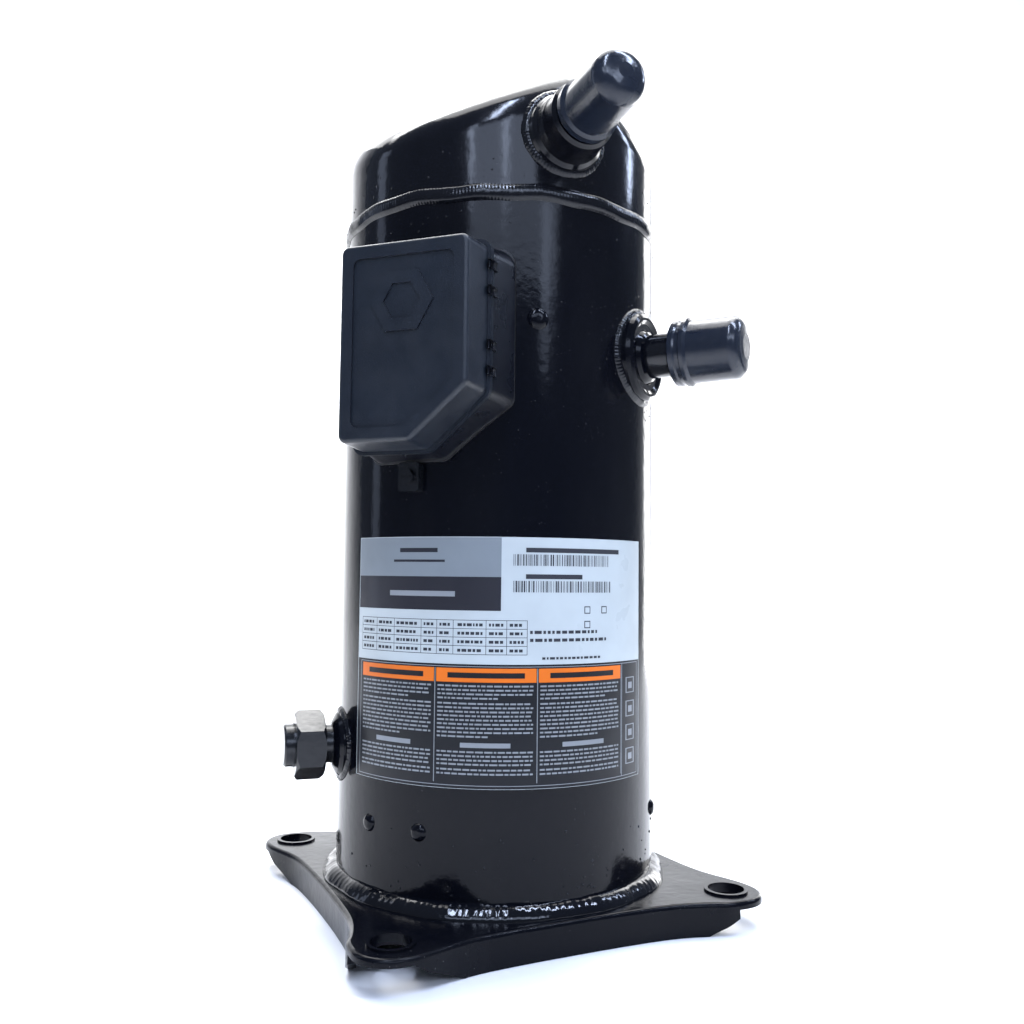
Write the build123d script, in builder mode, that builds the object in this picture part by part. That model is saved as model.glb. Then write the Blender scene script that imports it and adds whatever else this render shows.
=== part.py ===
from build123d import *
import math
import os

os.makedirs("parts", exist_ok=True)

# Hermetic scroll compressor.
# Origin: on the shell axis, at the underside of the four mounting feet. +Z is up, lengths in mm.

# shell and cap
shell_r = 92.075
shell_wall = 4.0
shell_bottom = -4.0
plate_seat = 371.0
plate_rim = 5.0
cap_seat = plate_seat + plate_rim
overall_height = 457.0
cap_blend = 24.0
cap_wall = 4.0

# the cap's sloping faces: azimuth and tilt from level, and where each one crosses the axis
slope_a_azimuth = -154.4
slope_a_tilt = 29.6
slope_a_height = 467.8
slope_b_azimuth = -37.0
slope_b_tilt = 40.0
slope_b_height = 495.4

# base
bolt_span = 190.5
hole_r = 9.75
foot_r = 19.0
base_half = 102.5
base_flare = 114.25
base_t = 4.0
flange_drop = 13.0
flange_half = 90.0

# both tube sockets
socket_depth = 30.0

# suction fitting
suction_azimuth = -55.0
suction_z = 296.5
suction_tube_r = 12.15
suction_bore_r = 11.15
suction_end = 144.0
suction_tip = 152.5

# discharge fitting
discharge_azimuth = -93.0
discharge_rise = 2.5
discharge_z = 403.5
discharge_tube_r = 8.0
discharge_bore_r = 6.4
discharge_end = 147.0
discharge_tip = 157.0

# oil fitting
oil_azimuth = 173.5
oil_z = 78.0
oil_nut_flats = 33.4

# terminal box
box_azimuth = -136.0
box_front = 132.0
box_rim = 108.0
box_left = -33.6
box_right = 34.9
box_bottom = 237.5
box_top = 335.5
box_wall = 2.6
terminal_z = 251.8
terminal_r = 15.4

# label
label_from = -168.5
label_to = -57.0
label_bottom = 66.5
label_top = 193.0

# scroll set
scroll_pitch = 18.6
wrap_t = 3.9
flank_gap = 0.3
orbit_r = scroll_pitch / 2 - wrap_t - flank_gap
first_arc_r = 10.0
half_turns = 5
wrap_floor = 300.0
wrap_height = 33.0
tip_gap = 0.2
plate_top = wrap_floor + wrap_height

# shaft and motor
main_journal_r = 15.0
lower_journal_r = 12.0
pin_r = 10.0
bushing_r = 15.0
running_gap = 0.03
stator_r = 88.0
stator_bore_r = 45.0
rotor_r = 44.4
core_bottom = 108.0
core_top = 202.0


def out(azimuth, rise=0.0):
    """Unit vector that points away from the shell axis."""
    a = math.radians(azimuth)
    e = math.radians(rise)
    return Vector(math.cos(e) * math.cos(a), math.cos(e) * math.sin(a), math.sin(e))


def side(azimuth):
    """Unit vector level and square to out(azimuth), anticlockwise."""
    a = math.radians(azimuth)
    return Vector(-math.sin(a), math.cos(a), 0)


def lathe_plane(azimuth, height, rise=0.0):
    """Plane through the shell axis: x runs outwards along a fitting, y is the radius."""
    return Plane(origin=(0, 0, height), x_dir=out(azimuth, rise), z_dir=side(azimuth) * -1)


def face_plane(azimuth, distance, height=0.0):
    """Upright plane at a distance from the axis: x runs sideways, y is the height."""
    return Plane(
        origin=out(azimuth) * distance + Vector(0, 0, height),
        x_dir=side(azimuth),
        z_dir=out(azimuth),
    )


def slope_plane(azimuth, tilt, height, inset):
    """A cap face that falls towards the azimuth, moved inwards by the inset."""
    t = math.radians(tilt)
    level = out(azimuth) * math.sin(t)
    normal = level + Vector(0, 0, math.cos(t))
    return Plane(origin=Vector(0, 0, height) - normal * inset, z_dir=normal)


def cap_form(radius, inset, blend):
    """The cap's outside shape, or its inside shape when inset is the wall."""
    with BuildPart() as form:
        with BuildSketch(Plane.XY.offset(cap_seat)):
            Circle(radius)
        extrude(amount=overall_height - cap_seat - inset)
        split(bisect_by=slope_plane(slope_a_azimuth, slope_a_tilt, slope_a_height, inset), keep=Keep.BOTTOM)
        split(bisect_by=slope_plane(slope_b_azimuth, slope_b_tilt, slope_b_height, inset), keep=Keep.BOTTOM)
        rim = form.edges().filter_by(lambda e: e.center().Z > cap_seat + 1)
        fillet(rim.filter_by(Axis.Z, reverse=True), blend)
    return form.part


def box_outline(grow, rise=0.0):
    """Corner points of the terminal box's five-sided outline, grown outwards."""
    left = box_left - grow
    right = box_right + grow
    low = box_bottom - grow
    high = box_top + grow + rise
    cut = 0.4 * grow
    return [(left, low), (5.0 + cut, low), (right, box_bottom + 26.0 - cut), (right, high), (left, high)]


cap_outside = cap_form(shell_r, 0.0, cap_blend)
cap_inside = cap_form(shell_r - cap_wall, cap_wall, cap_blend - cap_wall)

# ---------------------------------------------------------------- base and shell

side_edge = [(-bolt_span / 2, -base_flare), (-79, -111.2), (-63, -106.0), (-40, -base_half - 0.8), (0, -base_half)]
side_edge += [(-x, y) for x, y in reversed(side_edge[:-1])]
side_inner = [(x, y + base_t) for x, y in side_edge]
side_curve = Spline(side_edge, tangents=[(1, 0), (1, 0)])
inner_curve = Spline(side_inner, tangents=[(1, 0), (1, 0)])
corner_mid = bolt_span / 2 + foot_r * math.sin(math.radians(45))
corner_curve = ThreePointArc(side_edge[-1], (corner_mid, -corner_mid), (base_flare, -bolt_span / 2))

with BuildPart() as flange:
    with BuildSketch():
        with BuildLine():
            add(side_curve)
            Line(side_edge[-1], side_inner[-1])
            add(inner_curve)
            Line(side_inner[0], side_edge[0])
        make_face()
    extrude(amount=-flange_drop)
    with BuildSketch(Plane.XZ):
        with BuildLine():
            Polyline(
                (-flange_half, 0),
                (flange_half, 0),
                (flange_half, -4.5),
                (flange_half - 16, -flange_drop),
                (-flange_half + 28, -flange_drop),
                (-flange_half + 8, -5),
                close=True,
            )
        make_face()
    extrude(amount=130, mode=Mode.INTERSECT)

with BuildPart() as mounting_base:
    with BuildSketch():
        with BuildLine():
            for turn in range(4):
                add(side_curve.rotate(Axis.Z, 90 * turn))
                add(corner_curve.rotate(Axis.Z, 90 * turn))
        make_face()
        Circle(shell_r, mode=Mode.SUBTRACT)
        with GridLocations(bolt_span, bolt_span, 2, 2):
            Circle(hole_r, mode=Mode.SUBTRACT)
    extrude(amount=base_t)
    for turn in range(4):
        add(flange.part.rotate(Axis.Z, 90 * turn))
    top_rim = mounting_base.faces().sort_by(Axis.Z)[-1].outer_wire().edges()
    fillet(top_rim, 2.2)
    with BuildSketch(Plane.XY.offset(base_t)):
        with GridLocations(bolt_span, bolt_span, 2, 2):
            Circle(hole_r + 2.0)
            Circle(hole_r, mode=Mode.SUBTRACT)
    extrude(amount=1.2)
mounting_base.part.label = "mounting_base"
export_step(mounting_base.part, "parts/mounting_base.step")

with BuildPart() as bottom_cap:
    with BuildSketch(Plane.XZ):
        with BuildLine():
            Polyline((4, -9), (0, -9), (0, -5), (4, -5))
            ThreePointArc((4, -5), (42, -2.6), (80, 4.4))
            Line((80, 4.4), (84, 8))
            Line((84, 8), (84, 24))
            Line((84, 24), (88.075, 24))
            Line((88.075, 24), (88.075, 4))
            Line((88.075, 4), (82, 0.6))
            ThreePointArc((82, 0.6), (43, -6.6), (4, -9))
        make_face()
    revolve(axis=Axis.Z)
bottom_cap.part.label = "bottom_cap"
export_step(bottom_cap.part, "parts/bottom_cap.step")

with BuildPart() as base_weld:
    with BuildSketch(Plane.XZ):
        with BuildLine():
            Line((shell_r, base_t), (shell_r + 7.5, base_t))
            ThreePointArc((shell_r + 7.5, base_t), (shell_r + 5.2, base_t + 4.6), (shell_r, base_t + 7.0))
            Line((shell_r, base_t + 7.0), (shell_r, base_t))
        make_face()
    revolve(axis=Axis.Z)
base_weld.part.label = "base_weld"
export_step(base_weld.part, "parts/base_weld.step")

# plug welds hold the bearing parts through the shell wall: where each one sits
plug_welds = [(azimuth, 306.5, 6.2) for azimuth in (-102.3, -10.0, 35.0, 80.0, 125.0)]
plug_welds += [(-149.9 + 120 * turn + spot, 43.0, 4.9) for turn in range(3) for spot in (-10.5, 10.5)]

with BuildPart() as shell:
    with BuildSketch(Plane.XY.offset(shell_bottom)):
        Circle(shell_r)
        Circle(shell_r - shell_wall, mode=Mode.SUBTRACT)
    extrude(amount=plate_seat - shell_bottom)
    for azimuth, height, weld_r in plug_welds:
        weld_line = lathe_plane(azimuth, height)
        with BuildSketch(weld_line):
            with BuildLine():
                Polyline((91, weld_r), (90, weld_r), (90, 0), (shell_r + 2.0, 0), (shell_r + 2.0, 1.2))
                ThreePointArc((shell_r + 2.0, 1.2), (shell_r + 1.3, 0.7 * weld_r), (91, weld_r))
            make_face()
        revolve(axis=Axis(weld_line.origin, weld_line.x_dir))
    with BuildSketch(face_plane(suction_azimuth, 80, suction_z)):
        Circle(suction_tube_r)
    extrude(amount=20, mode=Mode.SUBTRACT)
    with BuildSketch(face_plane(oil_azimuth, 80, oil_z)):
        Circle(7)
    extrude(amount=20, mode=Mode.SUBTRACT)
    with BuildSketch(face_plane(box_azimuth, 70, terminal_z)):
        Circle(terminal_r)
    extrude(amount=30, mode=Mode.SUBTRACT)
shell.part.label = "shell"
export_step(shell.part, "parts/shell.step")

with BuildPart() as seam_weld:
    with BuildSketch(Plane.XZ):
        with BuildLine():
            Line((shell_r, 366.5), (shell_r, 379.5))
            ThreePointArc((shell_r, 379.5), (shell_r + 2.0, 373.0), (shell_r, 366.5))
        make_face()
    revolve(axis=Axis.Z)
seam_weld.part.label = "seam_weld"
export_step(seam_weld.part, "parts/seam_weld.step")

with BuildPart() as separator_plate:
    with BuildSketch(Plane.XZ):
        with BuildLine():
            Polyline(
                (14, plate_seat),
                (shell_r, plate_seat),
                (shell_r, cap_seat),
                (20, cap_seat),
                (20, cap_seat + 4),
                (14, cap_seat + 4),
                close=True,
            )
        make_face()
    revolve(axis=Axis.Z)
separator_plate.part.label = "separator_plate"
export_step(separator_plate.part, "parts/separator_plate.step")

discharge_line = lathe_plane(discharge_azimuth, discharge_z, discharge_rise)
discharge_axis = Axis(discharge_line.origin, discharge_line.x_dir)

with BuildPart() as top_cap:
    add(cap_outside)
    add(cap_inside, mode=Mode.SUBTRACT)
    with BuildSketch(discharge_line):
        with Locations((85, discharge_tube_r / 2)):
            Rectangle(40, discharge_tube_r)
    revolve(axis=discharge_axis, mode=Mode.SUBTRACT)
top_cap.part.label = "top_cap"
export_step(top_cap.part, "parts/top_cap.step")

# ---------------------------------------------------------------- suction fitting

suction_line = lathe_plane(suction_azimuth, suction_z)
suction_axis = Axis(suction_line.origin, suction_line.x_dir)

with BuildPart() as suction_collar:
    with BuildSketch(suction_line):
        with BuildLine():
            Polyline(
                (80, suction_tube_r),
                (80, 25),
                (93.4, 25),
                (95.6, 24),
                (96.8, 22),
                (96.8, 20.6),
                (95.4, 18.6),
                (95.4, 15.4),
                (97.6, 13.8),
                (98.6, suction_tube_r),
                close=True,
            )
        make_face()
    revolve(axis=suction_axis)
    with BuildSketch(Plane.XY.offset(200)):
        Circle(shell_r)
    extrude(amount=180, mode=Mode.SUBTRACT)
suction_collar.part.label = "suction_collar"
export_step(suction_collar.part, "parts/suction_collar.step")

with BuildPart() as suction_stub:
    with BuildSketch(suction_line):
        with BuildLine():
            Polyline(
                (84.5, suction_tube_r),
                (suction_end, suction_tube_r),
                (suction_end, suction_bore_r),
                (suction_end - socket_depth, suction_bore_r),
                (suction_end - socket_depth, suction_bore_r - 0.6),
                (84.5, suction_bore_r - 0.6),
                close=True,
            )
        make_face()
    revolve(axis=suction_axis)
suction_stub.part.label = "suction_stub"
export_step(suction_stub.part, "parts/suction_stub.step")

with BuildPart() as suction_plug:
    with BuildSketch(suction_line):
        with BuildLine():
            Polyline(
                (113, suction_tube_r + 0.3),
                (113, 16.6),
                (114, 18.0),
                (116.5, 18.0),
                (117.5, 17.2),
                (119.5, 17.2),
                (120.5, 18.9),
                (122.5, 18.9),
                (124, 17.2),
                (145.5, 16.9),
            )
            ThreePointArc((145.5, 16.9), (150.2, 15.2), (suction_tip - 0.5, 11.5))
            Polyline(
                (suction_tip - 0.5, 11.5),
                (suction_tip, 7),
                (suction_tip, 0),
                (suction_end + 0.5, 0),
                (suction_end + 0.5, suction_tube_r + 0.3),
                (113, suction_tube_r + 0.3),
            )
        make_face()
    revolve(axis=suction_axis)
suction_plug.part.label = "suction_plug"
export_step(suction_plug.part, "parts/suction_plug.step")

# ---------------------------------------------------------------- discharge fitting

with BuildPart() as discharge_boss:
    with BuildSketch(discharge_line):
        with BuildLine():
            Polyline(
                (60, discharge_tube_r),
                (60, 21.5),
                (92.5, 21.5),
                (94.5, 20.8),
                (97, 19.2),
                (102, 18.4),
                (112, 17.8),
                (114, 16.2),
                (114, discharge_tube_r),
                close=True,
            )
        make_face()
    revolve(axis=discharge_axis)
    add(cap_outside, mode=Mode.SUBTRACT)
discharge_boss.part.label = "discharge_boss"
export_step(discharge_boss.part, "parts/discharge_boss.step")

with BuildPart() as discharge_stub:
    with BuildSketch(discharge_line):
        with BuildLine():
            Polyline(
                (84, discharge_tube_r),
                (discharge_end, discharge_tube_r),
                (discharge_end, discharge_bore_r),
                (discharge_end - socket_depth, discharge_bore_r),
                (discharge_end - socket_depth, discharge_bore_r - 0.5),
                (84, discharge_bore_r - 0.5),
                close=True,
            )
        make_face()
    revolve(axis=discharge_axis)
discharge_stub.part.label = "discharge_stub"
export_step(discharge_stub.part, "parts/discharge_stub.step")

with BuildPart() as check_valve_seat:
    with BuildSketch(discharge_line):
        with Locations((87, (discharge_bore_r - 0.5 + 3.4) / 2)):
            Rectangle(3, discharge_bore_r - 3.9)
    revolve(axis=discharge_axis)
check_valve_seat.part.label = "check_valve_seat"
export_step(check_valve_seat.part, "parts/check_valve_seat.step")

with BuildPart() as check_valve_disc:
    with BuildSketch(discharge_line):
        with Locations((89.4, 2.65)):
            Rectangle(1.4, 5.3)
    revolve(axis=discharge_axis)
check_valve_disc.part.label = "check_valve_disc"
export_step(check_valve_disc.part, "parts/check_valve_disc.step")

with BuildPart() as discharge_plug:
    with BuildSketch(discharge_line):
        with BuildLine():
            Polyline(
                (115, discharge_tube_r + 0.3),
                (115, 15.4),
                (116, 16.6),
                (119.5, 16.6),
                (121, 15.0),
                (147.5, 14.4),
            )
            ThreePointArc((147.5, 14.4), (153.5, 12.4), (discharge_tip - 0.5, 7))
            Polyline(
                (discharge_tip - 0.5, 7),
                (discharge_tip, 4),
                (discharge_tip, 0),
                (discharge_end + 0.5, 0),
                (discharge_end + 0.5, discharge_tube_r + 0.3),
                (115, discharge_tube_r + 0.3),
            )
        make_face()
    revolve(axis=discharge_axis)
discharge_plug.part.label = "discharge_plug"
export_step(discharge_plug.part, "parts/discharge_plug.step")

# ---------------------------------------------------------------- oil fitting

oil_line = lathe_plane(oil_azimuth, oil_z)
oil_axis = Axis(oil_line.origin, oil_line.x_dir)

with BuildPart() as oil_boss:
    with BuildSketch(oil_line):
        with BuildLine():
            Polyline((84, 7), (84, 18.5), (93, 18.5), (95, 16.5), (97.5, 11.5), (97.5, 7), close=True)
        make_face()
    revolve(axis=oil_axis)
    with BuildSketch(Plane.XY.offset(40)):
        Circle(shell_r)
    extrude(amount=80, mode=Mode.SUBTRACT)
oil_boss.part.label = "oil_boss"
export_step(oil_boss.part, "parts/oil_boss.step")

with BuildPart() as oil_spud:
    with BuildSketch(oil_line):
        with BuildLine():
            Polyline((97.5, 5), (97.5, 10.5), (103, 10.5), (104, 12.6), (112, 12.6), (112, 5), close=True)
        make_face()
    revolve(axis=oil_axis)
oil_spud.part.label = "oil_spud"
export_step(oil_spud.part, "parts/oil_spud.step")

with BuildPart() as oil_seal:
    with BuildSketch(oil_line):
        with Locations((112.5, 9.3)):
            Rectangle(1, 6)
    revolve(axis=oil_axis)
oil_seal.part.label = "oil_seal"
export_step(oil_seal.part, "parts/oil_seal.step")

with BuildPart() as oil_blank:
    with BuildSketch(oil_line):
        with BuildLine():
            Polyline((113, 0), (113, 12.6), (114.6, 12.6), (114.6, 11.7), (123, 11.7), (124, 10.7), (124, 0), close=True)
        make_face()
    revolve(axis=oil_axis)
oil_blank.part.label = "oil_blank"
export_step(oil_blank.part, "parts/oil_blank.step")

with BuildPart() as oil_cap_nut:
    with BuildSketch(face_plane(oil_azimuth, 102.0, oil_z)):
        RegularPolygon(radius=oil_nut_flats / 2, side_count=6, major_radius=False, rotation=30)
    extrude(amount=16)
    with BuildSketch(oil_line):
        with BuildLine():
            Polyline((102, 0), (102, 17.0), (104.2, 19.6), (115.8, 19.6), (118, 17.0), (118, 0), close=True)
        make_face()
    revolve(axis=oil_axis, mode=Mode.INTERSECT)
    with BuildSketch(oil_line):
        with BuildLine():
            Polyline((101, 0), (101, 12.9), (115, 12.9), (115, 12.1), (119, 12.1), (119, 0), close=True)
        make_face()
    revolve(axis=oil_axis, mode=Mode.SUBTRACT)
oil_cap_nut.part.label = "oil_cap_nut"
export_step(oil_cap_nut.part, "parts/oil_cap_nut.step")

# ---------------------------------------------------------------- terminal box

with BuildPart() as terminal_base:
    with BuildSketch(face_plane(box_azimuth, box_rim)) as base_rim:
        with BuildLine():
            Polyline(box_outline(2.0), close=True)
        make_face()
        fillet(base_rim.vertices(), 6)
    extrude(amount=-46, taper=-11)
    with BuildSketch(face_plane(box_azimuth, box_rim)) as base_well:
        with BuildLine():
            Polyline(box_outline(2.0 - box_wall), close=True)
        make_face()
        fillet(base_well.vertices(), 4)
    extrude(amount=-46, taper=-11, mode=Mode.SUBTRACT)
    with BuildSketch(Plane.XY.offset(180)):
        Circle(shell_r + 2.5)
    extrude(amount=180, mode=Mode.SUBTRACT)
terminal_base.part.label = "terminal_base"
export_step(terminal_base.part, "parts/terminal_base.step")

with BuildPart() as terminal_gasket:
    with BuildSketch(Plane.XY.offset(225)):
        Circle(shell_r + 2.5)
        Circle(shell_r, mode=Mode.SUBTRACT)
    extrude(amount=125)
    with BuildSketch(face_plane(box_azimuth, 40)) as gasket_edge:
        with BuildLine():
            Polyline(box_outline(6.0), close=True)
        make_face()
        fillet(gasket_edge.vertices(), 7)
        with Locations((0, terminal_z)):
            Circle(terminal_r + 0.5, mode=Mode.SUBTRACT)
    extrude(amount=80, mode=Mode.INTERSECT)
terminal_gasket.part.label = "terminal_gasket"
export_step(terminal_gasket.part, "parts/terminal_gasket.step")

with BuildPart() as hermetic_terminal:
    with BuildSketch(face_plane(box_azimuth, 82, terminal_z)):
        Circle(terminal_r)
    extrude(amount=12.5)
    with BuildSketch(face_plane(box_azimuth, 82, terminal_z)):
        Circle(terminal_r - 2.5)
    extrude(amount=9.5, mode=Mode.SUBTRACT)
    with BuildSketch(face_plane(box_azimuth, 80, terminal_z)):
        with PolarLocations(7.5, 3, 90):
            Circle(1.6)
    extrude(amount=30, mode=Mode.SUBTRACT)
hermetic_terminal.part.label = "hermetic_terminal"
export_step(hermetic_terminal.part, "parts/hermetic_terminal.step")

with BuildPart() as terminal_pins:
    with BuildSketch(face_plane(box_azimuth, 78, terminal_z)):
        with PolarLocations(7.5, 3, 90):
            Circle(1.6)
    extrude(amount=25)
terminal_pins.part.label = "terminal_pins"
export_step(terminal_pins.part, "parts/terminal_pins.step")

# cover: drafted tray with a rim lip, a sunken front panel and a raised plain hexagon
with BuildPart() as terminal_cover:
    with BuildSketch(face_plane(box_azimuth, box_rim)) as cover_rim:
        with BuildLine():
            Polyline(box_outline(2.2), close=True)
        make_face()
        fillet(cover_rim.vertices(), 6)
    extrude(amount=box_front - box_rim, taper=5)
    fillet(terminal_cover.faces().sort_by(Axis(out(box_azimuth), out(box_azimuth)))[-1].edges(), 2.2)
    with BuildSketch(face_plane(box_azimuth, box_rim)) as cover_lip:
        with BuildLine():
            Polyline(box_outline(3.8), close=True)
        make_face()
        fillet(cover_lip.vertices(), 7)
    extrude(amount=3)
    with BuildSketch(face_plane(box_azimuth, box_rim)) as cover_well:
        with BuildLine():
            Polyline(box_outline(2.2 - box_wall), close=True)
        make_face()
        fillet(cover_well.vertices(), 4)
    extrude(amount=box_front - box_rim - 3.6, taper=5, mode=Mode.SUBTRACT)
    with BuildSketch(face_plane(box_azimuth, box_front)) as panel:
        with BuildLine():
            Polyline(box_outline(-7.0), close=True)
        make_face()
        fillet(panel.vertices(), 4)
    extrude(amount=-1.3, mode=Mode.SUBTRACT)
    with BuildSketch(face_plane(box_azimuth, box_front - 1.3, 306)):
        RegularPolygon(radius=17, side_count=6)
        RegularPolygon(radius=10, side_count=6, mode=Mode.SUBTRACT)
    extrude(amount=1.0)
terminal_cover.part.label = "terminal_cover"
export_step(terminal_cover.part, "parts/terminal_cover.step")

# ---------------------------------------------------------------- earth bracket and label

bracket_azimuth = -143.5
bracket_z = 224.0

with BuildPart() as ground_bracket:
    with BuildSketch(face_plane(bracket_azimuth, 86, bracket_z)):
        Rectangle(12.5, 15)
    extrude(amount=10.5)
    fillet(ground_bracket.edges().filter_by(Axis(out(bracket_azimuth), out(bracket_azimuth))), 1.5)
    with BuildSketch(face_plane(bracket_azimuth, 86, bracket_z)):
        Circle(2.3)
    extrude(amount=12, mode=Mode.SUBTRACT)
    with BuildSketch(Plane.XY.offset(200)):
        Circle(shell_r)
    extrude(amount=60, mode=Mode.SUBTRACT)
ground_bracket.part.label = "ground_bracket"
export_step(ground_bracket.part, "parts/ground_bracket.step")

with BuildPart() as ground_screw:
    with BuildSketch(face_plane(bracket_azimuth, 92.6, bracket_z)):
        Circle(2.0)
    extrude(amount=4.4)
    with BuildSketch(face_plane(bracket_azimuth, 96.8, bracket_z)):
        Circle(3.9)
    extrude(amount=2.2)
    with BuildSketch(face_plane(bracket_azimuth, 98.0, bracket_z)):
        Rectangle(9, 1.0)
    extrude(amount=2, mode=Mode.SUBTRACT)
ground_screw.part.label = "ground_screw"
export_step(ground_screw.part, "parts/ground_screw.step")

label_span = label_to - label_from
with BuildPart() as rating_label:
    label_start = Plane(origin=(0, 0, 0), x_dir=out(label_from), z_dir=side(label_from) * -1)
    with BuildSketch(label_start):
        with Locations((shell_r + 0.15, (label_bottom + label_top) / 2)):
            Rectangle(0.3, label_top - label_bottom)
    revolve(axis=Axis.Z, revolution_arc=label_span)
rating_label.part.label = "rating_label"
export_step(rating_label.part, "parts/rating_label.step")

# ---------------------------------------------------------------- bearings and motor

with BuildPart() as main_bearing_housing:
    with BuildSketch(Plane.XZ):
        with BuildLine():
            Polyline(
                (17.5, 226),
                (28, 226),
                (30, 246),
                (58, 268),
                (87.8, 268),
                (87.8, wrap_floor),
                (76.5, wrap_floor),
                (76.5, 283),
                (54, 283),
                (54, 289.9),
                (38, 289.9),
                (38, 261),
                (17.5, 261),
                close=True,
            )
        make_face()
    revolve(axis=Axis.Z)
    for turn in range(4):
        with BuildSketch(face_plane(suction_azimuth + 90 * turn, 70)):
            with Locations((0, 291.5)):
                Rectangle(36, 19)
        extrude(amount=25, mode=Mode.SUBTRACT)
    with BuildSketch(Plane.XY.offset(278)):
        with Locations((-65, 0), (65, 0)):
            Rectangle(19.6, 8.6)
        with PolarLocations(81, 4, suction_azimuth + 45):
            Circle(4.05)
    extrude(amount=30, mode=Mode.SUBTRACT)
main_bearing_housing.part.label = "main_bearing_housing"
export_step(main_bearing_housing.part, "parts/main_bearing_housing.step")

with BuildPart() as main_bearing_bush:
    with BuildSketch(Plane.XY.offset(226)):
        Circle(17.5)
        Circle(main_journal_r + running_gap, mode=Mode.SUBTRACT)
    extrude(amount=34)
main_bearing_bush.part.label = "main_bearing_bush"
export_step(main_bearing_bush.part, "parts/main_bearing_bush.step")

with BuildPart() as stator_core:
    with BuildSketch(Plane.XY.offset(core_bottom)):
        Circle(stator_r)
        Circle(stator_bore_r, mode=Mode.SUBTRACT)
        with PolarLocations(stator_r, 6):
            Rectangle(8, 22, mode=Mode.SUBTRACT)
    extrude(amount=core_top - core_bottom)
stator_core.part.label = "stator_core"
export_step(stator_core.part, "parts/stator_core.step")

with BuildPart() as upper_winding:
    with BuildSketch(Plane.XZ):
        with Locations((65, core_top + 10)):
            RectangleRounded(28, 20, 7)
    revolve(axis=Axis.Z)
upper_winding.part.label = "upper_winding"
export_step(upper_winding.part, "parts/upper_winding.step")

with BuildPart() as lower_winding:
    with BuildSketch(Plane.XZ):
        with Locations((65, core_bottom - 11)):
            RectangleRounded(28, 22, 7)
    revolve(axis=Axis.Z)
lower_winding.part.label = "lower_winding"
export_step(lower_winding.part, "parts/lower_winding.step")

with BuildPart() as lower_bearing_bracket:
    with BuildSketch(Plane.XY.offset(34)):
        Circle(20)
    extrude(amount=26)
    for turn in range(3):
        with BuildSketch(face_plane(-149.9 + 120 * turn, 10)):
            with Locations((0, 43)):
                Rectangle(26, 10)
        extrude(amount=77)
        with BuildSketch(face_plane(-149.9 + 120 * turn, 82)):
            with Locations((0, 45)):
                Rectangle(44, 20)
        extrude(amount=7)
    with BuildSketch(Plane.XY.offset(20)):
        Circle(shell_r - shell_wall)
    extrude(amount=60, mode=Mode.INTERSECT)
    with BuildSketch(Plane.XY.offset(30)):
        Circle(14.5)
    extrude(amount=40, mode=Mode.SUBTRACT)
lower_bearing_bracket.part.label = "lower_bearing_bracket"
export_step(lower_bearing_bracket.part, "parts/lower_bearing_bracket.step")

with BuildPart() as lower_bearing_bush:
    with BuildSketch(Plane.XY.offset(36)):
        Circle(14.5)
        Circle(lower_journal_r + running_gap, mode=Mode.SUBTRACT)
    extrude(amount=22)
lower_bearing_bush.part.label = "lower_bearing_bush"
export_step(lower_bearing_bush.part, "parts/lower_bearing_bush.step")

with BuildPart() as thrust_washer:
    with BuildSketch(Plane.XY.offset(60)):
        Circle(19)
        Circle(12.4, mode=Mode.SUBTRACT)
    extrude(amount=1.8)
thrust_washer.part.label = "thrust_washer"
export_step(thrust_washer.part, "parts/thrust_washer.step")

with BuildPart() as sump_magnet:
    with BuildSketch(face_plane(-29.9, 50)):
        with Locations((0, 35)):
            Rectangle(18, 6)
    extrude(amount=18)
sump_magnet.part.label = "sump_magnet"
export_step(sump_magnet.part, "parts/sump_magnet.step")

# ---------------------------------------------------------------- shaft and rotor

with BuildPart() as crankshaft:
    with BuildSketch(Plane.XZ):
        with BuildLine():
            Polyline(
                (3, 24),
                (9.5, 24),
                (9.5, 36),
                (lower_journal_r, 36),
                (lower_journal_r, 62),
                (14, 62),
                (14, 98),
                (main_journal_r, 98),
                (main_journal_r, 263),
                (3, 263),
                close=True,
            )
        make_face()
    revolve(axis=Axis.Z)
    with BuildSketch(Plane.XY.offset(263)):
        with Locations((orbit_r, 0)):
            Circle(pin_r)
    extrude(amount=24)
    with BuildSketch(Plane.XY.offset(262)):
        with Locations((orbit_r, 0)):
            Circle(2.5)
    extrude(amount=26, mode=Mode.SUBTRACT)
crankshaft.part.label = "crankshaft"
export_step(crankshaft.part, "parts/crankshaft.step")

with BuildPart() as drive_bushing:
    with BuildSketch(Plane.XY.offset(266)):
        with Locations((orbit_r, 0)):
            Circle(bushing_r)
            Circle(pin_r, mode=Mode.SUBTRACT)
    extrude(amount=21)
drive_bushing.part.label = "drive_bushing"
export_step(drive_bushing.part, "parts/drive_bushing.step")

with BuildPart() as oil_pickup:
    with BuildSketch(Plane.XZ):
        with BuildLine():
            Polyline((4, 2), (11, 2), (11, 34), (9.5, 34), (9.5, 4), (4, 4), close=True)
        make_face()
    revolve(axis=Axis.Z)
oil_pickup.part.label = "oil_pickup"
export_step(oil_pickup.part, "parts/oil_pickup.step")

with BuildPart() as rotor_core:
    with BuildSketch(Plane.XY.offset(core_bottom - 2)):
        Circle(rotor_r)
        Circle(main_journal_r, mode=Mode.SUBTRACT)
    extrude(amount=core_top - core_bottom + 4)
rotor_core.part.label = "rotor_core"
export_step(rotor_core.part, "parts/rotor_core.step")

with BuildPart() as rotor_end_rings:
    for level in (core_bottom - 9, core_top + 2):
        with BuildSketch(Plane.XY.offset(level)):
            Circle(43.5)
            Circle(27, mode=Mode.SUBTRACT)
        extrude(amount=7)
rotor_end_rings.part.label = "rotor_end_rings"
export_step(rotor_end_rings.part, "parts/rotor_end_rings.step")

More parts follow.
